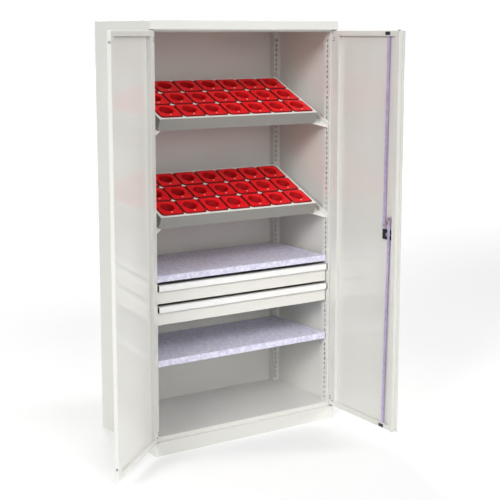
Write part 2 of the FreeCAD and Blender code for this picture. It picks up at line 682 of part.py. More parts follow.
def lock_handle():
    """Lever with its hub and the spindle that carries the cam."""
    foot = -ESCUTCHEON_DEPTH - RUNNING_GAP
    hub = door_pin(HUB_RADIUS, LOCK_REACH, CAM_HEIGHT, (foot - HUB_DEPTH, foot))
    spindle = door_pin(SPINDLE_RADIUS, LOCK_REACH, CAM_HEIGHT, (foot - HUB_DEPTH / 2, CAM_FACE + CAM_SHEET))
    face = foot - HUB_DEPTH
    lever = door_block((LOCK_REACH - LEVER_LENGTH, LOCK_REACH), (face, face + LEVER_THICKNESS),
                       (CAM_HEIGHT - LEVER_WIDTH / 2, CAM_HEIGHT + LEVER_WIDTH / 2))
    lever = lever.makeFillet(LEVER_EDGE, lever.Edges)
    return hub.fuse([spindle, lever]).removeSplitter().cut(cam_screw_shank())


def tilted(shape, origin_height):
    """Tilts a piece that was laid out flat from the frame's front edge, and lifts it to its place."""
    turned = shape.copy()
    turned.rotate(V(0, 0, 0), V(1, 0, 0), FRAME_TILT_ANGLE)
    turned.translate(V(0, FRAME_FRONT, origin_height))
    return turned


def frame_origin(height):
    """Height of the insert plane's front edge when the arms' lugs sit in the slot nearest to height."""
    along = (FRONT_SLOT_Y - FRAME_FRONT - ARM_LUG_DROP * TILT_SIN) / TILT_COS
    return slot_near(height) - along * TILT_SIN + ARM_LUG_DROP * TILT_COS


def insert_middle(column, row):
    """Middle of one insert on the flat frame."""
    first = INSERT_PITCH / 2 - FRAME_HALF + FRAME_MARGIN
    return V(first + column * INSERT_PITCH, (row + 1 / 2) * INSERT_PITCH, 0)


def tool_frame():
    """Flat pan of the insert frame: a deep rim, and a plate with one long window for each row of inserts."""
    x = (-FRAME_HALF, FRAME_HALF)
    y = (-FRAME_MARGIN, FRAME_LENGTH + FRAME_MARGIN)
    pan = block(x, y, (-FRAME_FOOT, -INSERT_FLANGE))
    pan = pan.makeFillet(FOLD_RADIUS, [e for e in pan.Edges if e.BoundBox.ZMax > -FRAME_FOOT / 2])
    under = block(inset(x, FRAME_SHEET), inset(y, FRAME_SHEET),
                  (-FRAME_FOOT - OVERRUN, -INSERT_FLANGE - FRAME_SHEET))
    reach = BODY_RADIUS + BODY_CLEARANCE
    windows = []
    for row in range(ROWS):
        first, last = insert_middle(0, row), insert_middle(COLUMNS - 1, row)
        middle = first.y + SOCKET_SHIFT
        windows.append(block((first.x - reach, last.x + reach), (middle - reach, middle + reach),
                             (-FRAME_FOOT, 0)))
    return pan.cut([under] + windows)


def insert_slab(draw_in, z):
    """Slab with an insert's round-cornered outline, drawn in from its full size."""
    half = INSERT_HALF - draw_in
    slab = block((-half, half), (-half, half), z)
    corners = [e for e in slab.Edges if e.BoundBox.ZLength > (z[1] - z[0]) / 2]
    return slab.makeFillet(INSERT_CORNER - draw_in, corners)


def insert():
    """One plastic insert at the origin: a thin bevelled plate with a ring sunk around a tapered socket."""
    edge = insert_slab(0, (-INSERT_FLANGE, -INSERT_BEVEL_DROP))
    top = insert_slab(INSERT_BEVEL, (-INSERT_FLANGE, 0))
    outlines = [max(slab.Faces, key=lambda face: face.CenterOfMass.z).OuterWire for slab in (edge, top)]
    bevel = Part.makeLoft(outlines, True, True)
    foot = V(0, SOCKET_SHIFT, -BODY_DEPTH)
    mouth = V(0, SOCKET_SHIFT, 0)
    body = Part.makeCone(BODY_END_RADIUS, BODY_RADIUS, BODY_DEPTH - INSERT_FLANGE, foot)
    seat = pin(SEAT_RADIUS, mouth - V(0, 0, SEAT_DEPTH), mouth)
    bore = Part.makeCone(BORE_END_RADIUS, BORE_RADIUS, BODY_DEPTH - SEAT_DEPTH, foot)
    place = insert_screw_place()
    shank = pin(INSERT_SCREW_SHANK_RADIUS, place - V(0, 0, INSERT_SCREW_LENGTH), place)
    return edge.fuse([bevel, body]).removeSplitter().cut([seat.fuse(bore), shank])


def insert_screw_place():
    """Where the screw sits on an insert, between the sunk ring and the front bevel."""
    ring, bevel = SOCKET_SHIFT - SEAT_RADIUS, INSERT_BEVEL - INSERT_HALF
    return V(0, ring + INSERT_SCREW_SHARE * (bevel - ring), 0)


def insert_screw():
    """Small pan-head screw that holds an insert down."""
    place = insert_screw_place()
    head = pin(INSERT_SCREW_RADIUS, place, place + V(0, 0, INSERT_SCREW_HEAD))
    shank = pin(INSERT_SCREW_SHANK_RADIUS, place - V(0, 0, INSERT_SCREW_LENGTH), place)
    return head.fuse(shank).removeSplitter()


def insert_row(piece, row):
    """A row of copies of a piece, one on each insert place of the flat frame."""
    copies = []
    for column in range(COLUMNS):
        copy = piece.copy()
        copy.translate(insert_middle(column, row))
        copies.append(copy)
    return Part.makeCompound(copies)


def frame_arm(height):
    """Sloping right-hand arm: a wedge-shaped flange carries the frame and a lug fits a slot."""
    foot = FRAME_FOOT + FRAME_SHEET
    start = (JAMB_FRONT + ARM_FRONT_GAP - FRAME_FRONT - ARM_TOP * TILT_SIN) / TILT_COS
    end = (REAR_POST_FACE - FRAME_FRONT - foot * TILT_SIN) / TILT_COS
    web = block((OPENING - FRAME_SHEET, OPENING), (start, end), (-foot, -ARM_TOP))
    inner = FRAME_HALF - ARM_SEAT
    outline = [(OPENING, start), (OPENING, end), (inner, end), (inner, -FRAME_MARGIN)]
    corners = [V(x, y, -foot) for x, y in outline]
    seat = Part.Face(Part.makePolygon(corners + corners[:1])).extrude(V(0, 0, FRAME_SHEET))
    lip = block((OPENING - ARM_LIP, OPENING), (start, end), (-ARM_TOP - FRAME_SHEET, -ARM_TOP))
    arm = tilted(web.fuse([seat, lip]).removeSplitter(), frame_origin(height))
    return arm.fuse(lug(slot_near(height))).removeSplitter()


def lug(z):
    """Lug on the inner face of the right front post that goes into a slot."""
    half_width = SLOT_WIDTH / 2 - LUG_CLEARANCE
    half_height = SLOT_HEIGHT / 2 - LUG_CLEARANCE
    return block((OPENING - FRAME_SHEET, OPENING + LUG_REACH),
                 (FRONT_SLOT_Y - half_width, FRONT_SLOT_Y + half_width), (z - half_height, z + half_height))


def shelf_bottom(height):
    """Underside of a shelf whose clips sit in the slots nearest to height."""
    return slot_near(height) + CLIP_RISE


def shelf(height):
    """Shelf pan with edges turned down and returned."""
    low = shelf_bottom(height)
    x, y = (-SHELF_HALF, SHELF_HALF), (SHELF_FRONT, REAR_POST_FACE - SHELF_REAR_GAP)
    pan = block(x, y, (low, low + SHELF_THICKNESS))
    pan = pan.makeFillet(FOLD_RADIUS, pan.Edges)
    hollow = block(inset(x, SHEET), inset(y, SHEET), (low + SHEET, low + SHELF_THICKNESS - SHEET))
    under = block(inset(x, SHELF_RETURN), inset(y, SHELF_RETURN), (low - OVERRUN, low + SHELF_THICKNESS / 2))
    return pan.cut([hollow, under])


def front_clip(height):
    """Shelf clip on the right front post: a plate, a ledge and a lug."""
    low = shelf_bottom(height)
    y = (FRONT_SLOT_Y - CLIP_WIDTH / 2, FRONT_SLOT_Y + CLIP_WIDTH / 2)
    plate = block((OPENING - CLIP_SHEET, OPENING), y, (low - CLIP_DROP, low))
    ledge = block((OPENING - CLIP_LEDGE, OPENING), y, (low - CLIP_SHEET, low))
    return plate.fuse([ledge, lug(slot_near(height))]).removeSplitter()


def rear_clip(height):
    """Shelf clip on the right rear post, which reaches in under the shelf's corner."""
    low = shelf_bottom(height)
    slot = slot_near(height)
    x = (OPENING - CLIP_LEDGE, REAR_SLOT_X + CLIP_WIDTH / 2)
    half_width = SLOT_WIDTH / 2 - LUG_CLEARANCE
    half_height = SLOT_HEIGHT / 2 - LUG_CLEARANCE
    plate = block(x, (REAR_POST_FACE - CLIP_SHEET, REAR_POST_FACE), (low - CLIP_DROP, low))
    ledge = block(x, (REAR_POST_FACE - CLIP_LEDGE, REAR_POST_FACE), (low - CLIP_SHEET, low))
    hook = block((REAR_SLOT_X - half_width, REAR_SLOT_X + half_width),
                 (REAR_POST_FACE - CLIP_SHEET, REAR_POST_FACE + LUG_REACH),
                 (slot - half_height, slot + half_height))
    return plate.fuse([ledge, hook]).removeSplitter()


def shelf_clips():
    """Four clips under each shelf."""
    clips = []
    for height in SHELF_HEIGHTS:
        for clip in (front_clip(height), rear_clip(height)):
            clips += [clip, mirrored(clip)]
    return Part.makeCompound(clips)


def drawer_top(number):
    """Top edge of a drawer front, counted down from the upper shelf."""
    return shelf_bottom(SHELF_HEIGHTS[0]) - DRAWER_SHELF_GAP - number * DRAWER_PITCH


def drawer_front(number):
    """Drawer front folded as a shallow pan that is open to the rear."""
    high = drawer_top(number)
    x, z = (-DRAWER_HALF, DRAWER_HALF), (high - DRAWER_FRONT_HEIGHT, high)
    hollow = block(inset(x, BOX_SHEET), (DRAWER_FACE + BOX_SHEET, DRAWER_FRONT_BACK + OVERRUN),
                   inset(z, BOX_SHEET))
    pan = block(x, (DRAWER_FACE, DRAWER_FRONT_BACK), z)
    middle = (DRAWER_FACE + DRAWER_FRONT_BACK) / 2
    pan = pan.makeFillet(FOLD_RADIUS, [e for e in pan.Edges if e.BoundBox.YMin < middle])
    return pan.cut(hollow)


def handle_section(number, grow):
    """Outline of the handle rail across its length, as a face at x = 0; grow fills its finger gap."""
    high = drawer_top(number)
    low = high - HANDLE_HEIGHT
    face = DRAWER_FACE - HANDLE_PROUD
    inner = face + HANDLE_WALL
    if grow:
        points = [(DRAWER_FACE, high), (face, high), (face, low), (DRAWER_FACE, low)]
    else:
        roof, rise = high - HANDLE_WALL, low + HANDLE_WALL
        lip, back = face + HANDLE_LIP, DRAWER_FACE - HANDLE_WALL
        points = [(DRAWER_FACE, high), (face, high), (face, low), (lip, low), (lip, rise), (inner, rise),
                  (inner, roof), (back, roof), (back, low + HANDLE_LIP), (DRAWER_FACE, low + HANDLE_LIP)]
    corners = [V(0, y, z) for y, z in points]
    return Part.Face(Part.makePolygon(corners + corners[:1]))


def handle_bar(number, grow, start, length):
    """A length of the handle rail's outline, with its two front edges rounded."""
    section = handle_section(number, grow)
    section.translate(V(start, 0, 0))
    bar = section.extrude(V(length, 0, 0))
    front = DRAWER_FACE - HANDLE_PROUD + HANDLE_WALL / 2
    long_edges = [e for e in bar.Edges if e.BoundBox.XLength > length / 2]
    return bar.makeFillet(HANDLE_EDGE, [e for e in long_edges if e.BoundBox.YMax < front])


def drawer_handle(number):
    """Full-width rail with a finger gap open below."""
    half = DRAWER_HALF - HANDLE_CAP
    return handle_bar(number, False, -half, 2 * half)


def handle_caps(number):
    """Plastic caps that close the two ends of the rail."""
    return both(handle_bar(number, True, DRAWER_HALF - HANDLE_CAP, HANDLE_CAP))


def drawer_box(number):
    """Open box behind the drawer front."""
    low = drawer_top(number) - DRAWER_FRONT_HEIGHT + BOX_RISE
    x, y, z = (-BOX_HALF, BOX_HALF), (DRAWER_FRONT_BACK, BOX_REAR), (low, low + BOX_HEIGHT)
    inside = block(inset(x, BOX_SHEET), inset(y, BOX_SHEET), (low + BOX_SHEET, z[1] + OVERRUN))
    return block(x, y, z).cut(inside)


def runner_channel(number, level, rear):
    """Right-hand runner member: level 0 is fixed to the posts, 1 runs in it and 2 in that."""
    low = drawer_top(number) - DRAWER_FRONT_HEIGHT + BOX_RISE
    middle = low + BOX_HEIGHT / 2
    half = RUNNER_HEIGHT / 2 - level * (RUNNER_WALL + BALL_GAP)
    outer = OPENING - level * (RUNNER_WALL + BALL_GAP)
    inner = BOX_HALF if level == 2 else outer - RUNNER_DEPTH
    y = (DRAWER_FRONT_BACK, rear)
    bar = block((inner, outer), y, (middle - half, middle + half))
    way = block((inner - OVERRUN, outer - RUNNER_WALL), (y[0] - OVERRUN, y[1] + OVERRUN),
                (middle - half + RUNNER_WALL, middle + half - RUNNER_WALL))
    return both(bar.cut(way))


def build():
    """Every node of the cabinet, by name."""
    nodes = {
        "plinth": plinth(),
        "floor_panel": floor_panel(),
        "right_side_panel": right_side_panel(),
        "left_side_panel": mirrored(right_side_panel()),
        "back_panel": back_panel(),
        "top_cap": top_cap(),
        "front_right_post": front_right_post(),
        "front_left_post": mirrored(front_right_post()),
        "rear_right_post": rear_right_post(),
        "rear_left_post": mirrored(rear_right_post()),
        "hinge_bushes": hinge_bushes(),
        "right_door_panel": swing_right(right_door_panel()),
        "right_hinge_pins": swing_right(hinge_pins()),
        "right_hinge_blocks": swing_right(hinge_blocks()),
        "right_hinge_screws": swing_right(hinge_screws()),
        "right_door_buffers": swing_right(right_door_buffers()),
        "left_door_panel": swing_left(left_door_panel()),
        "left_hinge_pins": swing_left(mirrored(hinge_pins())),
        "left_hinge_blocks": swing_left(mirrored(hinge_blocks())),
        "left_hinge_screws": swing_left(mirrored(hinge_screws())),
        "left_door_buffers": swing_left(left_door_buffers()),
        "lock_case": swing_right(lock_case()),
        "lock_plug": swing_right(lock_plug()),
        "lock_cam": swing_right(lock_cam()),
        "cam_screw": swing_right(cam_screw()),
        "upper_lock_rod": swing_right(lock_rod(True)),
        "lower_lock_rod": swing_right(lock_rod(False)),
        "rod_guides": swing_right(rod_guides()),
        "handle_escutcheon": swing_right(handle_escutcheon()),
        "lock_handle": swing_right(lock_handle()),
        "shelf_clips": shelf_clips(),
    }
    flat_frame, one_insert, one_screw = tool_frame(), insert(), insert_screw()
    arms, screws = [], []
    for name, height in zip(("upper", "lower"), FRAME_HEIGHTS):
        origin = frame_origin(height)
        nodes[f"{name}_tool_frame"] = tilted(flat_frame, origin)
        arms += [frame_arm(height), mirrored(frame_arm(height))]
        for row in range(ROWS):
            nodes[f"{name}_inserts_row_{row + 1}"] = tilted(insert_row(one_insert, row), origin)
            screws.append(tilted(insert_row(one_screw, row), origin))
    nodes["frame_arms"] = Part.makeCompound(arms)
    nodes["insert_screws"] = Part.makeCompound(screws)
    for name, height in zip(("upper", "lower"), SHELF_HEIGHTS):
        nodes[f"{name}_shelf"] = shelf(height)
    for number, name in zip(range(DRAWER_COUNT), ("upper", "lower")):
        nodes[f"{name}_drawer_front"] = drawer_front(number)
        nodes[f"{name}_drawer_handle"] = drawer_handle(number)
        nodes[f"{name}_handle_caps"] = handle_caps(number)
        nodes[f"{name}_drawer_box"] = drawer_box(number)
        nodes[f"{name}_inner_runners"] = runner_channel(number, 2, BOX_REAR)
        nodes[f"{name}_middle_runners"] = runner_channel(number, 1, BOX_REAR - RUNNER_STEP)
        nodes[f"{name}_outer_runners"] = runner_channel(number, 0, REAR_POST_FACE)
    return nodes


os.makedirs("parts", exist_ok=True)
for node, shape in build().items():
    shape.exportStep(f"parts/{node}.step")
    print(node, len(shape.Solids), shape.isValid(), round(shape.Volume / 1000, 1))
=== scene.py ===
import math

import bpy
import numpy as np
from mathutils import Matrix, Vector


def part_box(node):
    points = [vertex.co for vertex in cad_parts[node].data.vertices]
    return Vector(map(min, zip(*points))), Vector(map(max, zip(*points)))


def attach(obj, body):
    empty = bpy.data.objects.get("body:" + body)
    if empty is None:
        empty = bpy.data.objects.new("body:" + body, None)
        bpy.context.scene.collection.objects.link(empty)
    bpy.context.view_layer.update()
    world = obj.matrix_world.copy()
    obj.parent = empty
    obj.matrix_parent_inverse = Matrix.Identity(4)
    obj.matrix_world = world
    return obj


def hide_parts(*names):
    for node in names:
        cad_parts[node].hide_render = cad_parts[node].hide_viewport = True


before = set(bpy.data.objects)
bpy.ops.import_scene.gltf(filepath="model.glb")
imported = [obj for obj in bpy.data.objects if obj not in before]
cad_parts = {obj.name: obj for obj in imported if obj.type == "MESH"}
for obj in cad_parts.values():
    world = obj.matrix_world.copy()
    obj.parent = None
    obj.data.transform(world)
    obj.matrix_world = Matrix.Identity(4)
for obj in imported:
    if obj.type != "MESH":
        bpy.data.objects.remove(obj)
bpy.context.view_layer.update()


# Carcass
# Plinth, floor, sides, back, roof and slotted posts are folded from thin sheet steel, spot
# welded, and powder coated warm off-white: semi-gloss, with a fine orange peel on sheet that
# is never quite flat.

def srgb(red, green, blue):
    """Display values of 0 to 255 as the linear values that a shader takes."""
    share = np.array([red, green, blue]) / 255
    return np.where(share <= 0.04045, share / 12.92, ((share + 0.055) / 1.055) ** 2.4)


def new_finish(name, color, roughness, metallic=0.0):
    """A material with the values that are the same all over set on its own shader."""
    material = bpy.data.materials.new(name)
    material.use_nodes = True
    shader = material.node_tree.nodes["Principled BSDF"]
    shader.inputs["Base Color"].default_value = (*color, 1)
    shader.inputs["Roughness"].default_value = roughness
    shader.inputs["Metallic"].default_value = metallic
    return material


def shader_of(material):
    """The Principled shader of a finish."""
    return material.node_tree.nodes["Principled BSDF"]


def texture(material, kind, per_metre, stretch=(1, 1, 1), **settings):
    """A procedural texture on the piece's own coordinates, with so many grains to the metre."""
    nodes, links = material.node_tree.nodes, material.node_tree.links
    place, stretched, made = (nodes.new(n) for n in ("ShaderNodeTexCoord", "ShaderNodeMapping", kind))
    stretched.inputs["Scale"].default_value = stretch
    made.inputs["Scale"].default_value = per_metre
    for name, value in settings.items():
        made.inputs[name].default_value = value
    links.new(place.outputs["Object"], stretched.inputs["Vector"])
    links.new(stretched.outputs["Vector"], made.inputs["Vector"])
    return made


def noise(material, per_metre, detail=2.0, stretch=(1, 1, 1)):
    """Soft lumps, as one value from 0 to 1."""
    return texture(material, "ShaderNodeTexNoise", per_metre, stretch, Detail=detail).outputs["Fac"]


def vary_color(material, factor, low, high, span=(0.3, 0.7)):
    """The base colour runs from low to high as the factor crosses its span."""
    ramp = material.node_tree.nodes.new("ShaderNodeValToRGB")
    for stop, place, color in zip(ramp.color_ramp.elements, span, (low, high)):
        stop.position = place
        stop.color = (*color, 1)
    material.node_tree.links.new(factor, ramp.inputs["Fac"])
    material.node_tree.links.new(ramp.outputs["Color"], shader_of(material).inputs["Base Color"])


def vary_gloss(material, factor, low, high):
    """The roughness runs from low to high with the factor."""
    spread = material.node_tree.nodes.new("ShaderNodeMapRange")
    spread.inputs["To Min"].default_value = low
    spread.inputs["To Max"].default_value = high
    material.node_tree.links.new(factor, spread.inputs["Value"])
    material.node_tree.links.new(spread.outputs["Result"], shader_of(material).inputs["Roughness"])


def raise_relief(material, *layers):
    """Bumps laid over each other; each layer is a height factor and its full height in metres."""
    nodes, links = material.node_tree.nodes, material.node_tree.links
    below = None
    for factor, height in layers:
        bump = nodes.new("ShaderNodeBump")
        bump.inputs["Distance"].default_value = height
        links.new(factor, bump.inputs["Height"])
        if below:
            links.new(below, bump.inputs["Normal"])
        below = bump.outputs["Normal"]
    links.new(below, shader_of(material).inputs["Normal"])


def coat_nodes(material, *names):
    """Puts a finish on CAD nodes, in the slots that they already have."""
    for name in names:
        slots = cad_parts[name].data.materials
        for index in range(len(slots)):
            slots[index] = material


def coat_sheet(material, gloss, wave=0.004):
    """What paint does on sheet: slow drifts of gloss, orange peel, and long waves in the sheet below."""
    vary_gloss(material, noise(material, 30, 3.0), gloss * 0.85, gloss * 1.2)
    raise_relief(material, (noise(material, 1.6, 0.0), wave), (noise(material, 450, 1.0), 0.00002))


def powder_coat(name, color, gloss, wave=0.004):
    """Paint of one colour, with slow drifts of tint."""
    material = new_finish(name, color, gloss)
    vary_color(material, noise(material, 2.5), color * 0.97, color * 1.02)
    coat_sheet(material, gloss, wave)
    return material


WARM_WHITE = srgb(224, 223.5, 218)
carcass_coat = powder_coat("carcass_coat", WARM_WHITE, 0.3)
coat_nodes(carcass_coat, "plinth", "floor_panel", "left_side_panel", "right_side_panel", "back_panel",
           "top_cap", "front_left_post", "front_right_post", "rear_left_post", "rear_right_post")


# Doors
# Two trays of the same sheet with lips that turn back in, coated in the same colour at a higher
# gloss. They turn on steel pins in flanged bushes; blocks inside the corners hold the pins.

door_coat = powder_coat("door_coat", WARM_WHITE, 0.04, wave=0.0012)
coat_nodes(door_coat, "left_door_panel", "right_door_panel")


def plated_steel(name, color, gloss, streaks):
    """Bright zinc on steel: fine drawn streaks and a little cloudiness."""
    material = new_finish(name, color, gloss, metallic=0.9)
    vary_color(material, noise(material, 40, 4.0), color * 0.8, color * 1.1)
    vary_gloss(material, noise(material, 500, 2.0, streaks), gloss * 0.7, gloss * 1.4)
    raise_relief(material, (noise(material, 700, 2.0, streaks), 0.00003))
    return material


PLATED = srgb(196, 197, 200)
hinge_steel = plated_steel("hinge_steel", PLATED, 0.3, (1, 1, 0.1))
coat_nodes(hinge_steel, "left_hinge_pins", "right_hinge_pins", "left_hinge_blocks", "right_hinge_blocks",
           "cam_screw")
screw_black = plated_steel("screw_black", srgb(52, 52, 54), 0.4, (1, 1, 1))
coat_nodes(screw_black, "left_hinge_screws", "right_hinge_screws")


def moulded(name, color, gloss, grain_height):
    """Moulding compound: nearly even colour, a fine spark-eroded grain and dull patches."""
    material = new_finish(name, color, gloss)
    vary_color(material, noise(material, 60, 3.0), color * 0.8, color * 1.4)
    vary_gloss(material, noise(material, 90, 3.0), gloss * 0.8, gloss * 1.2)
    raise_relief(material, (noise(material, 1500, 2.0), grain_height))
    return material


BLACK = srgb(22, 22, 23)
black_rubber = moulded("black_rubber", BLACK, 0.75, 0.00006)
coat_nodes(black_rubber, "right_door_buffers")
grey_rubber = moulded("grey_rubber", srgb(150, 150, 148), 0.75, 0.00006)
coat_nodes(grey_rubber, "left_door_buffers")
black_plastic = moulded("black_plastic", BLACK, 0.42, 0.00003)
coat_nodes(black_plastic, "hinge_bushes")


# Lock
# A lever turns a brass-yellow cam, which drives two flat rods plated with a lilac tinge through
# black guides into the plinth and the roof. The case, the escutcheon and the lever are black.

coat_nodes(black_plastic, "lock_case", "rod_guides", "handle_escutcheon", "lock_handle")
coat_nodes(hinge_steel, "lock_plug")
rod_plating = plated_steel("rod_plating", srgb(203, 186, 226), 0.38, (1, 1, 0.05))
shader_of(rod_plating).inputs["Metallic"].default_value = 0.25
coat_nodes(rod_plating, "upper_lock_rod", "lower_lock_rod")
cam_plating = plated_steel("cam_plating", srgb(205, 165, 70), 0.32, (1, 0.2, 1))
coat_nodes(cam_plating, "lock_cam")


# Sloping insert frames
# Pans folded from sheet, with windows for three rows of seven inserts. Their coat is painted light
# and shade: white where a face looks up and greyer on the deep rim. They rest on white sloping arms
# that hook into the posts.

def facing_up(material):
    """How far a face looks upward: 1 on level plates, 0 on upright rims."""
    nodes, links = material.node_tree.nodes, material.node_tree.links
    surface, parts = (nodes.new(n) for n in ("ShaderNodeNewGeometry", "ShaderNodeSeparateXYZ"))
    links.new(surface.outputs["Normal"], parts.inputs["Vector"])
    return parts.outputs["Z"]


# Painted light and shade: faces turn from grey to white the more they look upward.
RIM_PAINTED_SHADE, PLATE_WHITE_PAINTED_LIGHT = srgb(150, 148, 143), srgb(242, 241, 237)
frame_coat_painted_shade = new_finish("frame_coat_painted_shade", PLATE_WHITE_PAINTED_LIGHT, 0.3)
vary_color(frame_coat_painted_shade, facing_up(frame_coat_painted_shade), RIM_PAINTED_SHADE, PLATE_WHITE_PAINTED_LIGHT, span=(0.25, 0.75))
coat_sheet(frame_coat_painted_shade, 0.3)
coat_nodes(frame_coat_painted_shade, "upper_tool_frame", "lower_tool_frame")
arm_coat = powder_coat("arm_coat", srgb(240, 239, 234), 0.3)
coat_nodes(arm_coat, "frame_arms")


# Inserts
# Thin square mouldings of bright red plastic, with a wide shallow bevel all round. A ring is sunk
# around the mouth of a tapered socket, which hangs through the frame; a small bright screw holds
# each one down. The bevels are painted dark red and the sockets a deeper red: painted shade in the
# grooves between inserts and inside the sockets.

TILT = math.radians(24)
INSERTS_IN_ROW = 7
INSERT_GAP = 0.0012
FLANGE = 0.0035
BEVEL_DROP = 0.0025
CORNER, EDGE_ROUND = 0.018, 0.0004
SOCKET_SHIFT = 0.00906
SEAT_RADIUS, SEAT_DEPTH = 0.0385, 0.0012
BORE_RADIUS, BORE_END_RADIUS = 0.0349, 0.0273
SOCKET_RADIUS, SOCKET_END_RADIUS, SOCKET_DEPTH = 0.042, 0.033, 0.052
# Inset from the edge and height of each outline that climbs the side and the bevel
SIDE_STATIONS = np.array([(0, -3.5), (0, -2.9), (0.1, -2.62), (0.4, -2.38), (1.0, -2.14), (6.0, -0.36),
                          (6.6, -0.17), (7.2, -0.05), (8.0, 0), (9.0, 0)]) / 1000
# Rings of faces in the bevel, counted from the first outline, and in the socket, from the last; both
# get painted shade
BEVEL_FACES, SOCKET_FACES = 7, 5


def rounded_square(turn, half, corner):
    """Where a ray at each angle leaves a square with round corners: on a side, or on a corner's arc."""
    across, along = np.abs(np.cos(turn)), np.abs(np.sin(turn))
    side = half / np.maximum(across, along)
    middle = half - corner
    toward = middle * (across + along)
    arc = toward + np.sqrt(np.maximum(toward ** 2 - 2 * middle ** 2 + corner ** 2, 0))
    on_side = np.minimum(across, along) * side <= middle
    return np.where(on_side, side, arc)


def moulded_insert(half, around=96):
    """One insert as a closed ring of outlines, each at its own height, and each face's finish.

    The first outlines are the square drawn in by each station's inset, so that they climb the bevel to the
    flat top; the others are circles about the socket's middle that go over the sunk ring, down the socket
    and up its outside. Finish 0 is the top, 1 the bevel in painted shade and 2 the socket in painted
    shade.
    """
    turn = np.arange(around) / around * 2 * math.pi
    square = rounded_square(turn[None, :], half - SIDE_STATIONS[:, :1], CORNER - SIDE_STATIONS[:, :1])
    ring, mouth, edge = SEAT_RADIUS, BORE_RADIUS, EDGE_ROUND
    circles = np.array([
        (ring + 4 * edge, 0), (ring + edge, 0), (ring, -edge), (ring - edge / 2, edge - SEAT_DEPTH),
        (ring - 2 * edge, -SEAT_DEPTH), (mouth + 4 * edge, -SEAT_DEPTH),
        (mouth + edge, -SEAT_DEPTH - edge / 3), (mouth, -SEAT_DEPTH - 3 * edge),
        (mouth - edge, -SEAT_DEPTH - 8 * edge), (BORE_END_RADIUS, -SOCKET_DEPTH),
        (SOCKET_END_RADIUS, -SOCKET_DEPTH), (SOCKET_RADIUS, -FLANGE)])
    out = np.concatenate([square, np.repeat(circles[:, :1], around, 1)])
    height = np.concatenate([SIDE_STATIONS[:, 1], circles[:, 1]])[:, None]
    shift = np.where(np.arange(len(out)) < len(square), 0, SOCKET_SHIFT)[:, None]
    points = np.stack([out * np.cos(turn), out * np.sin(turn) + shift, height + 0 * out], 2)
    station, step = np.meshgrid(np.arange(len(points)), np.arange(around), indexing="ij")
    next_station, next_step = (station + 1) % len(points), (step + 1) % around
    faces = np.stack([station * around + step, station * around + next_step,
                      next_station * around + next_step, next_station * around + step], 2)
    in_socket = station >= len(points) - SOCKET_FACES
    # Bevel faces take the darkest red and socket faces a deeper red, as painted shade
    finish_and_shade_of_face = np.where(station < BEVEL_FACES, 1, np.where(in_socket, 2, 0))
    return points.reshape(-1, 3), faces.reshape(-1, 4), finish_and_shade_of_face.reshape(-1)


def add_piece(name, points, faces, finishes, finish_and_shade_of_face, body):
    """A new smooth mesh of whole arrays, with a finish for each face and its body."""
    mesh = bpy.data.meshes.new(name)
    mesh.from_pydata(points.tolist(), [], faces.tolist())
    mesh.polygons.foreach_set("use_smooth", np.ones(len(mesh.polygons), bool))
    for finish in finishes:
        mesh.materials.append(finish)
    mesh.polygons.foreach_set("material_index", finish_and_shade_of_face)
    piece = bpy.data.objects.new(name, mesh)
    bpy.context.scene.collection.objects.link(piece)
    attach(piece, body)
    return piece


def moulded_red(name, color, gloss):
    """Filled plastic: slightly uneven red, soft dull patches and a fine grain."""
    material = new_finish(name, color, gloss)
    shader_of(material).inputs["Specular IOR Level"].default_value = 0.3
    vary_color(material, noise(material, 25, 3.0), color * 0.9, color * 1.05)
    vary_gloss(material, noise(material, 60, 3.0), gloss * 0.85, gloss * 1.2)
    raise_relief(material, (noise(material, 1200, 2.0), 0.00002))
    return material


insert_red = moulded_red("insert_red", srgb(245, 17, 27), 0.42)
# The bevel and socket reds are darker copies of the top's red: painted shade
bevel_painted_shade = moulded_red("bevel_painted_shade", srgb(120, 4, 10), 0.5)
socket_painted_shade = moulded_red("socket_painted_shade", srgb(198, 12, 20), 0.5)
for level in ("upper", "lower"):
    for row in (1, 2, 3):
        node = f"{level}_inserts_row_{row}"
        low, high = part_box(node)
        half = (high.x - low.x - (INSERTS_IN_ROW - 1) * INSERT_GAP) / INSERTS_IN_ROW / 2
        middle_y = low.y + half * math.cos(TILT) - BEVEL_DROP * math.sin(TILT)
        middle_z = high.z - half * math.sin(TILT) + BEVEL_DROP * math.cos(TILT)
        one, ring, finish_and_shade_of_face = moulded_insert(half)
        flat = np.concatenate([one + ((i - (INSERTS_IN_ROW - 1) / 2) * (2 * half + INSERT_GAP), 0, 0)
                               for i in range(INSERTS_IN_ROW)])
        placed = np.stack([flat[:, 0],
                           middle_y + flat[:, 1] * math.cos(TILT) - flat[:, 2] * math.sin(TILT),
                           middle_z + flat[:, 1] * math.sin(TILT) + flat[:, 2] * math.cos(TILT)], 1)
        rings = np.concatenate([ring + i * len(one) for i in range(INSERTS_IN_ROW)])
        row_piece = add_piece(f"{node}_moulded", placed, rings, (insert_red, bevel_painted_shade, socket_painted_shade),
                              np.tile(finish_and_shade_of_face, INSERTS_IN_ROW), "cabinet")
        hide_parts(node)

screw_bright = plated_steel("screw_bright", srgb(238, 238, 240), 0.4, (1, 1, 1))
shader_of(screw_bright).inputs["Metallic"].default_value = 0.3
coat_nodes(screw_bright, "insert_screws")


# Shelves and clips
# Pans of hot-dip zinc sheet with their edges folded down, carried by zinc clips in the slots. The
# zinc has a fine lilac-grey spangle.

def zinc_spangle(name, dark, light):
    """Zinc crystals: soft clouds and lumps of tint, cells of differing gloss, a slight facet relief."""
    material = new_finish(name, light, 0.5)
    vary_color(material, noise(material, 60, 5.0), dark, light)
    crystals = texture(material, "ShaderNodeTexVoronoi", 110, Randomness=1.0).outputs["Color"]
    vary_gloss(material, crystals, 0.4, 0.62)
    raise_relief(material, (crystals, 0.00003), (noise(material, 500, 2.0), 0.00002))
    return material


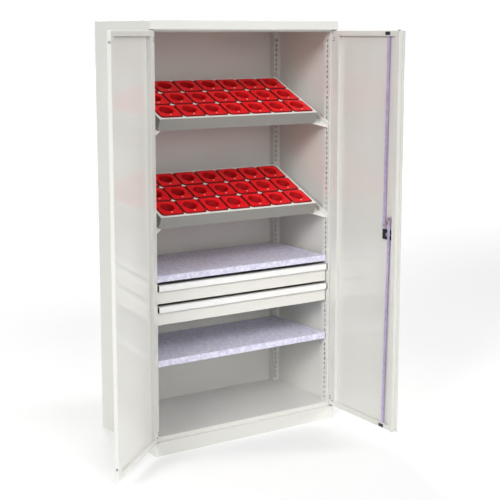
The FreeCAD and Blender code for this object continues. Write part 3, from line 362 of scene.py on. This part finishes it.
zinc = zinc_spangle("zinc", srgb(204, 201, 228), srgb(242, 241, 254))
coat_nodes(zinc, "upper_shelf", "lower_shelf", "shelf_clips")


# Drawers
# Shallow coated fronts with a full-width rail of satin white and black end caps. The boxes behind
# them run on zinc ball runners.

drawer_coat = powder_coat("drawer_coat", srgb(234, 232, 226), 0.3)
rail_satin = new_finish("rail_satin", srgb(248, 248, 247), 0.34)
vary_color(rail_satin, noise(rail_satin, 300, 3.0, (0.02, 1, 1)), srgb(244, 244, 242), srgb(251, 251, 250))
vary_gloss(rail_satin, noise(rail_satin, 500, 2.0, (0.02, 1, 1)), 0.28, 0.42)
raise_relief(rail_satin, (noise(rail_satin, 900, 2.0, (0.01, 1, 1)), 0.00002))
runner_zinc = plated_steel("runner_zinc", PLATED, 0.34, (1, 0.05, 1))
for level in ("upper", "lower"):
    coat_nodes(drawer_coat, f"{level}_drawer_front")
    coat_nodes(carcass_coat, f"{level}_drawer_box")
    coat_nodes(rail_satin, f"{level}_drawer_handle")
    coat_nodes(black_plastic, f"{level}_handle_caps")
    coat_nodes(runner_zinc, f"{level}_inner_runners", f"{level}_middle_runners", f"{level}_outer_runners")


# Studio
# A pale floor that the camera sees as white, with the object's shadow on it, a white background,
# and wide soft boxes all round. Their grids narrow the beams, and they aim low, so the light thins
# out towards the roof.

def seen_rays(tree):
    """One where the camera sees a surface straight, in gloss or through glass, and zero for other rays."""
    rays = tree.nodes.new("ShaderNodeLightPath")
    seen = rays.outputs["Is Camera Ray"]
    for kind in ("Is Glossy Ray", "Is Transmission Ray"):
        either = tree.nodes.new("ShaderNodeMath")
        either.operation = "MAXIMUM"
        tree.links.new(seen, either.inputs[0])
        tree.links.new(rays.outputs[kind], either.inputs[1])
        seen = either.outputs["Value"]
    return seen


FLOOR_REACH = 60.0
GLOW_FROM, GLOW_TO, GLOW_STRENGTH = 2.0, 9.0, 0.5
floor_mesh = bpy.data.meshes.new("floor")
corners = [(x * FLOOR_REACH, y * FLOOR_REACH, 0) for x, y in ((-1, -1), (1, -1), (1, 1), (-1, 1))]
floor_mesh.from_pydata(corners, [], [(0, 1, 2, 3)])
floor = bpy.data.objects.new("floor", floor_mesh)
bpy.context.scene.collection.objects.link(floor)
floor_white = new_finish("floor_white", srgb(250, 250, 250), 1.0)
floor_tree = floor_white.node_tree
floor_grey = floor_tree.nodes.new("ShaderNodeBsdfDiffuse")
floor_grey.inputs["Color"].default_value = (*srgb(205, 205, 205), 1)
floor_pick = floor_tree.nodes.new("ShaderNodeMixShader")
floor_tree.links.new(seen_rays(floor_tree), floor_pick.inputs["Fac"])
floor_tree.links.new(floor_grey.outputs["BSDF"], floor_pick.inputs[1])
floor_tree.links.new(shader_of(floor_white).outputs["BSDF"], floor_pick.inputs[2])
floor_tree.links.new(floor_pick.outputs["Shader"], floor_tree.nodes["Material Output"].inputs["Surface"])
floor_place, floor_far, floor_glow = (floor_tree.nodes.new(n) for n in (
    "ShaderNodeTexCoord", "ShaderNodeVectorMath", "ShaderNodeMapRange"))
floor_far.operation = "LENGTH"
floor_tree.links.new(floor_place.outputs["Object"], floor_far.inputs[0])
floor_tree.links.new(floor_far.outputs["Value"], floor_glow.inputs["Value"])
floor_glow.inputs["From Min"].default_value = GLOW_FROM
floor_glow.inputs["From Max"].default_value = GLOW_TO
floor_glow.inputs["To Max"].default_value = GLOW_STRENGTH
floor_tree.links.new(floor_glow.outputs["Result"], shader_of(floor_white).inputs["Emission Strength"])
shader_of(floor_white).inputs["Emission Color"].default_value = (1, 1, 1, 1)
floor_mesh.materials.append(floor_white)

ROOM_LIGHT = 0.6
world = bpy.data.worlds.new("studio")
world.use_nodes = True
bpy.context.scene.world = world
background = world.node_tree.nodes["Background"]
background.inputs["Color"].default_value = (1, 1, 1, 1)
room_level = world.node_tree.nodes.new("ShaderNodeMapRange")
room_level.inputs["To Min"].default_value = ROOM_LIGHT
room_level.inputs["To Max"].default_value = 1.0
world.node_tree.links.new(seen_rays(world.node_tree), room_level.inputs["Value"])
world.node_tree.links.new(room_level.outputs["Result"], background.inputs["Strength"])


LAMP_SIZE = 5.0
LAMP_AIM = (0, 0, 0.25)
GRID_SPREAD = math.radians(30)


def soft_box(name, place, power):
    """A square area lamp with a grid before it, turned from its place towards the lamps' common aim."""
    lamp = bpy.data.lights.new(name, "AREA")
    lamp.size = LAMP_SIZE
    lamp.energy = power
    lamp.spread = GRID_SPREAD
    holder = bpy.data.objects.new(name, lamp)
    holder.location = place
    toward = np.subtract(LAMP_AIM, place)
    holder.rotation_euler = (math.acos(-toward[2] / np.linalg.norm(toward)), 0,
                             math.atan2(toward[1], toward[0]) - math.pi / 2)
    bpy.context.scene.collection.objects.link(holder)


soft_box("front", (-2.74, -10.99, 9.23), 22)
soft_box("low", (-1.2, -13.73, 3.43), 7)
soft_box("left", (-11.39, -6.58, 5.79), 45)
soft_box("right", (12.26, -5.72, 4.62), 38)
soft_box("rear", (4.5, 13.0, 5.5), 35)


# Camera
# At the photograph's place, a little below the roof line and to the left of the front, looking
# slightly down; a small shift centres the cabinet in the square picture.

IMAGE_WIDTH = 500
FOCAL_PIXELS = 1188.7
SENSOR = 36.0
PITCH, YAW = math.radians(90 - 9.17), math.radians(-33.84)
camera = bpy.data.objects.new("camera", bpy.data.cameras.new("camera"))
camera.location = (-3.0962, -4.8953, 1.9437)
camera.rotation_euler = (PITCH, 0, YAW)
camera.data.sensor_width = SENSOR
camera.data.lens = FOCAL_PIXELS / IMAGE_WIDTH * SENSOR
camera.data.shift_y = -0.05
bpy.context.scene.collection.objects.link(camera)
bpy.context.scene.camera = camera
bpy.context.scene.view_settings.view_transform = "Standard"
